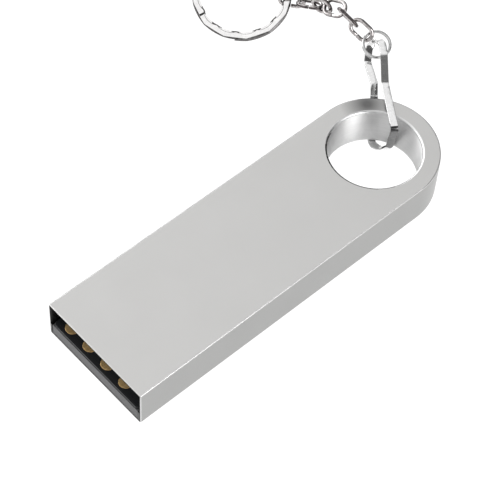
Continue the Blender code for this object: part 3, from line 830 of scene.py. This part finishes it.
# ---- jump ring, chain and key ring -------------------------------------------------------------
def build_jump_ring():
    start = joint_place("jump_ring_swing")
    side = joint_axis("jump_ring_swing")
    chain_start = joint_place("link_1_swing")
    normal = side.cross(joint_axis("link_1_swing")).normalized()
    rise = normal.cross(side)
    if rise.dot(chain_start - start) < 0.0:
        rise = -rise
        normal = -normal
    centre = start + rise * JUMP_MEAN_RADIUS
    first = math.radians(JUMP_GAP_AT_DEG + JUMP_GAP_DEG / 2)
    span = math.radians(360.0 - JUMP_GAP_DEG)
    steps = 160
    path = []
    for i in range(steps + 1):
        angle = first + span * i / steps
        path.append(centre + (side * math.cos(angle) + rise * math.sin(angle)) * JUMP_MEAN_RADIUS)
    sections = wire_sections(path, normal, JUMP_WIRE)
    ring = add_piece("round_jump_ring", *sweep(sections), smooth_deg=WIRE_SMOOTH_DEG)
    plate = bright_plate("jump_ring_plate", (0.46, 0.46, 0.46), (0.64, 0.64, 0.64), 0.12)
    # Painted shade: a darker copy of the plate for the wire's inner and outer faces.
    painted_shade_side = bright_plate("jump_ring_painted_shade_side", (0.32, 0.32, 0.32), (0.46, 0.46, 0.46), 0.20)
    ring.data.materials.append(plate)
    ring.data.materials.append(painted_shade_side)
    # Painted shade: faces that look along the ring's plane take the darker copy.
    paint_by_direction(ring.data, normal, 0.45, 1)
    stand_for(ring, "jump_ring", "ring_chrome", "jump_ring")


def link_path(centre, along, wide):
    """A stadium-shaped centre line that starts and ends at a seam in one straight side."""
    round_r = (LINK_WIDTH - LINK_WIRE) / 2
    half_straight = LINK_LENGTH / 2 - LINK_WIRE / 2 - round_r
    steps = 28
    seam = LINK_SEAM / 2
    end_length = 0.03
    flat = [(seam, round_r), (seam + end_length, round_r)]
    for sign, turn in ((1.0, math.pi / 2), (-1.0, -math.pi / 2)):
        for i in range(steps + 1):
            angle = turn - math.pi * i / steps
            flat.append((sign * half_straight + round_r * math.cos(angle), round_r * math.sin(angle)))
    flat += [(-seam - end_length, round_r), (-seam, round_r)]
    return [centre + along * a + wide * b for a, b in flat]


def build_chain():
    plate = bright_plate("link_plate", (0.30, 0.28, 0.28), (0.64, 0.61, 0.605), 0.12, 0.2)
    # Painted shade: a near-black copy of the plate for the wires' inner and outer faces.
    painted_shade_side = bright_plate("link_painted_shade_side", (0.05, 0.044, 0.044), (0.14, 0.125, 0.125), 0.18, 0.2)
    reach = (LINK_LENGTH - LINK_WIRE) / 2
    numbers = range(1, LINK_COUNT + 1)
    names = ["link_%d_swing" % number for number in numbers] + ["key_ring_swing"]
    for number in numbers:
        near = joint_place(names[number - 1])
        far = joint_place(names[number])
        along = (far - near).normalized()
        wide = joint_axis(names[number])
        path = link_path(far - along * reach, along, wide)
        sections = wire_sections(path, along.cross(wide), LINK_WIRE)
        node = "chain_link_%d" % number
        link = add_piece("wire_link_%d" % number, *sweep(sections), smooth_deg=WIRE_SMOOTH_DEG)
        link.data.materials.append(plate)
        link.data.materials.append(painted_shade_side)
        # Painted shade: faces that look along each link's plane take the dark copy.
        paint_by_direction(link.data, along.cross(wide), 0.5, 1)
        stand_for(link, node, "link_chrome", node)


def key_ring_frame():
    """The key ring's centre, its direction away from the chain, the next direction, its normal."""
    mesh = frame["nodes"]["key_ring"].data
    places = np.array([v.co for v in mesh.vertices]) / MM
    middle = places.mean(axis=0)
    normal = Vector(np.linalg.svd(places - middle)[2][2])
    if normal.z < 0.0:
        normal = -normal
    away = Vector(middle) - joint_place("key_ring_swing")
    away = (away - normal * away.dot(normal)).normalized()
    second = normal.cross(away)
    centre = Vector((0.0, 0.0, 0.0))
    for axis in (away, second, normal):
        reach = places @ np.array(axis)
        centre += axis * float((reach.min() + reach.max()) / 2)
    return centre, away, second, normal


def smooth_step(t):
    t = min(max(t, 0.0), 1.0)
    return t * t * (3.0 - 2.0 * t)


def coil_offset(angle_deg):
    """Height of the wire above the middle: flat turns joined by one short jog."""
    pitch = RING_COIL + RING_COIL_GAP
    jog_start = RING_JOG_AT_DEG + 360.0 - RING_JOG_HALF_DEG
    return pitch * (smooth_step((angle_deg - jog_start) / (2.0 * RING_JOG_HALF_DEG)) - 0.5)


def hammered(angle_deg, phase):
    """1 in the middle of a hammer mark and 0 between two marks."""
    place = angle_deg * RING_FACETS / 360.0 + phase
    return 1.0 - (2.0 * abs(place - math.floor(place) - 0.5)) ** 2


def key_ring_section(angle_deg):
    """The flat wire's outline as (radius, height) pairs: hammered above, plain below."""
    half = RING_COIL / 2
    ease = RING_EDGE_EASE
    mark = hammered(angle_deg, 0.0)
    inner_mark = hammered(angle_deg, 0.5)
    outer = RING_OUTER_RADIUS - 0.5 * RING_FACET_DEPTH * mark
    inner = RING_INNER_RADIUS + RING_FACET_DEPTH * inner_mark
    outer_cut = ease + RING_OUTER_MARK_WIDTH * mark
    down_cut = ease + RING_OUTER_MARK_DEPTH * mark
    inner_cut = RING_INNER_BEVEL + RING_INNER_MARK_WIDTH * inner_mark
    return (
        (outer, half - down_cut),
        (outer - outer_cut * 0.4, half - down_cut * 0.45),
        (outer - outer_cut, half - 0.006),
        (outer - outer_cut - 0.05, half),
        (inner + inner_cut + 0.04, half),
        (inner + inner_cut, half - 0.012),
        (inner + inner_cut * 0.5, half - ease * 0.6),
        (inner, half - ease),
        (inner, -half + ease),
        (inner + ease * 0.4, -half + ease * 0.3),
        (inner + ease, -half),
        (outer - ease, -half),
        (outer - ease * 0.4, -half + ease * 0.3),
        (outer, -half + ease),
    )


def build_key_ring():
    centre, away, second, normal = key_ring_frame()
    start = RING_JOG_AT_DEG + RING_JOG_HALF_DEG
    end = RING_JOG_AT_DEG + 720.0 - RING_JOG_HALF_DEG
    steps = round((end - start) / RING_STEP_DEG)
    sections = []
    for i in range(steps + 1):
        angle_deg = start + (end - start) * i / steps
        angle = math.radians(angle_deg)
        radial = away * math.cos(angle) + second * math.sin(angle)
        base = centre + normal * coil_offset(angle_deg)
        sections.append([base + radial * r + normal * h for r, h in key_ring_section(angle_deg)])
    ring = add_piece("hammered_key_ring", *sweep(sections), smooth_deg=RING_SMOOTH_DEG)
    plate = bright_plate("key_ring_plate", (0.78, 0.77, 0.77), (0.90, 0.895, 0.89), 0.12, 0.3)
    # Painted shade: a near-black copy of the plate for the bevels, hammer marks and walls.
    painted_shade_side = bright_plate("key_ring_painted_shade_side", (0.06, 0.058, 0.058), (0.18, 0.172, 0.172), 0.16, 0.3)
    ring.data.materials.append(plate)
    ring.data.materials.append(painted_shade_side)
    # Painted shade: faces turned away from the ring's normal take the dark copy.
    paint_by_direction(ring.data, normal, 0.975, 1)
    stand_for(ring, "key_ring", "key_ring_chrome", "key_ring")


# ---- hidden pieces keep their CAD meshes -------------------------------------------------------
def dress_hidden_pieces():
    lid = moulded_plastic("black_plastic", (0.035, 0.035, 0.038), (0.06, 0.06, 0.064))
    epoxy = moulded_plastic("mould_epoxy", (0.014, 0.014, 0.015), (0.03, 0.03, 0.032), 0.42, 0.08)
    silicon = ceramic_chip("silicon", (0.16, 0.17, 0.21), (0.24, 0.25, 0.30))
    capacitor = ceramic_chip("capacitor_ceramic", (0.38, 0.27, 0.17), (0.54, 0.41, 0.28))
    resistor = ceramic_chip("resistor_glaze", (0.02, 0.02, 0.024), (0.05, 0.05, 0.055))
    finishes = {
        "carrier_lid": lid,
        "mould_cap": epoxy,
        "controller_die": silicon,
        "memory_die_upper": silicon,
        "memory_die_lower": silicon,
        "crystal": plated_can(),
        "glue_bead": cured_glue(),
    }
    for number in range(1, 5):
        finishes["capacitor_%d" % number] = capacitor
    for number in range(1, 3):
        finishes["resistor_%d" % number] = resistor
    for name, material in finishes.items():
        frame["nodes"][name].material_slots[0].material = material


# ---- floor, light and camera -------------------------------------------------------------------
FLOOR_RADIUS = 80.0
# The floor lies this far below the drive, so that the chain stays in sight when it swings down.
FLOOR_DROP = 4.0


def build_floor():
    points = [(x, y, cad_low.z / MM - FLOOR_DROP) for x, y in circle(FLOOR_RADIUS, 128)]
    floor = add_piece("pale_floor", points, [tuple(range(len(points)))])
    inputs = {"Base_Color": (0.2, 0.2, 0.2), "Roughness": 0.9, "Emission_Color": (1.0, 1.0, 1.0)}
    inputs.update({"Emission_Strength": 0.9, "Specular_IOR_Level": 0.0})
    material, _, _ = start_material("pale_floor", **inputs)
    floor.data.materials.append(material)


def fade(tree, value, low, high):
    """0 below low and 1 above high, smoothly."""
    inputs = {"Value": value, "From Min": low, "From Max": high, "To Min": 0.0, "To Max": 1.0}
    return shader_node(tree, "MapRange", inputs, interpolation_type="SMOOTHSTEP").outputs["Result"]


def dot(tree, first, second):
    made = shader_node(tree, "VectorMath", {0: first, 1: second}, operation="DOT_PRODUCT")
    return made.outputs["Value"]


def round_patch(tree, way, towards, inner_deg, outer_deg):
    """1 inside a round patch of the tent, falling to 0 at its outer angle."""
    cosine = dot(tree, way, towards)
    return fade(tree, cosine, math.cos(math.radians(outer_deg)), math.cos(math.radians(inner_deg)))


def wall_panel(tree, way, azimuth_deg, half_deg, low_deg, high_deg, soft_deg):
    """1 inside an upright panel of the tent, falling to 0 over soft_deg at its four sides."""
    flat = shader_node(tree, "VectorMath", {0: way, 1: (1.0, 1.0, 0.0)}, operation="MULTIPLY")
    level = shader_node(tree, "VectorMath", {0: flat.outputs[0]}, operation="NORMALIZE").outputs[0]
    outer = math.cos(math.radians(half_deg + soft_deg))
    inner = math.cos(math.radians(half_deg))
    across = fade(tree, dot(tree, level, direction(azimuth_deg, 0.0)), outer, inner)
    height = shader_node(tree, "SeparateXYZ", {0: way}).outputs["Z"]
    elevations = (low_deg - soft_deg, low_deg, high_deg, high_deg + soft_deg)
    sines = [math.sin(math.radians(elevation)) for elevation in elevations]
    over = fade(tree, height, sines[0], sines[1])
    above = fade(tree, height, sines[2], sines[3])
    under = shader_node(tree, "Math", {0: 1.0, 1: above}, operation="SUBTRACT")
    return times(tree, across, times(tree, over, under.outputs[0]))


def blend_values(tree, factor, value, target):
    made = shader_node(tree, "Mix", {0: factor, 2: value, 3: target}, data_type="FLOAT")
    return made.outputs[0]


# Upright panels of the tent: azimuth, half width, lowest and highest elevation and softness in
# degrees, then how bright the panel is.
WALL_PANELS = (
    ((80.0, 39.0, 6.0, 40.0, 9.0), 0.08),
    ((-38.0, 10.0, 0.0, 27.0, 6.0), 0.02),
    ((3.0, 11.0, 3.0, 44.0, 7.0), 5.5),
    ((135.0, 28.0, -7.0, 8.0, 5.0), 0.19),
    ((-170.0, 30.0, 0.0, 28.0, 10.0), 4.2),
)
TENT_LIGHT = 1.10
# The dark opening in the tent's roof: azimuth and elevation, the radii between which it fades,
# and how bright it is.
TENT_OPENING = (-2.0, 62.0)
TENT_OPENING_DEG = (17.0, 22.0)
TENT_OPENING_LIGHT = 0.10


def build_sky():
    """A light tent: bright overhead, with bright panels and dark cards to give the metal edges."""
    world = bpy.data.worlds.new("light_tent")
    bpy.context.scene.world = world
    world.use_nodes = True
    tree = world.node_tree
    tree.nodes.clear()
    way = shader_node(tree, "TexCoord").outputs["Generated"]
    height = shader_node(tree, "SeparateXYZ", {0: way}).outputs["Z"]
    light = remap(tree, height, 0.02, 0.30, 0.55, TENT_LIGHT)
    light = blend_values(tree, fade(tree, height, 0.0, -0.04), light, 1.0)
    for panel, level in WALL_PANELS:
        light = blend_values(tree, wall_panel(tree, way, *panel), light, level)
    opening = round_patch(tree, way, direction(*TENT_OPENING), *TENT_OPENING_DEG)
    light = blend_values(tree, opening, light, TENT_OPENING_LIGHT)
    background = shader_node(tree, "Background", {"Color": light, "Strength": 1.0})
    output = shader_node(tree, "OutputWorld")
    tree.links.new(background.outputs[0], output.inputs["Surface"])


CAMERA_FROM_EYELET = Vector((68.57, -85.64, 142.44))
CAMERA_AZIMUTH_DEG = 44.31
CAMERA_ELEVATION_DEG = 54.96
CAMERA_ROLL_DEG = 4.32
CAMERA_LENS = 137.7
CAMERA_SENSOR = 36.0


def build_camera():
    azimuth = math.radians(CAMERA_AZIMUTH_DEG)
    elevation = math.radians(CAMERA_ELEVATION_DEG)
    level = math.cos(elevation)
    back = Vector((math.sin(azimuth) * level, -math.cos(azimuth) * level, math.sin(elevation)))
    right = Vector((math.cos(azimuth), math.sin(azimuth), 0.0))
    turn = Matrix.Rotation(math.radians(CAMERA_ROLL_DEG), 3, back)
    right = turn @ right
    up = back.cross(right)
    data = bpy.data.cameras.new("photo_camera")
    data.lens = CAMERA_LENS
    data.sensor_width = CAMERA_SENSOR
    data.clip_start = 0.005
    data.clip_end = 20.0
    camera = bpy.data.objects.new("photo_camera", data)
    bpy.context.scene.collection.objects.link(camera)
    turned_axes = Matrix((right, up, back)).transposed().to_4x4()
    place = (EYELET + CAMERA_FROM_EYELET) * MM
    camera.matrix_world = Matrix.Translation(place) @ turned_axes
    bpy.context.scene.camera = camera


def set_view():
    bpy.context.scene.view_settings.view_transform = "Standard"


build_camera()
build_sky()
build_floor()
set_view()
build_sleeve()
build_tray()
build_board()
build_contacts()
build_clip()
build_jump_ring()
build_chain()
build_key_ring()
dress_hidden_pieces()
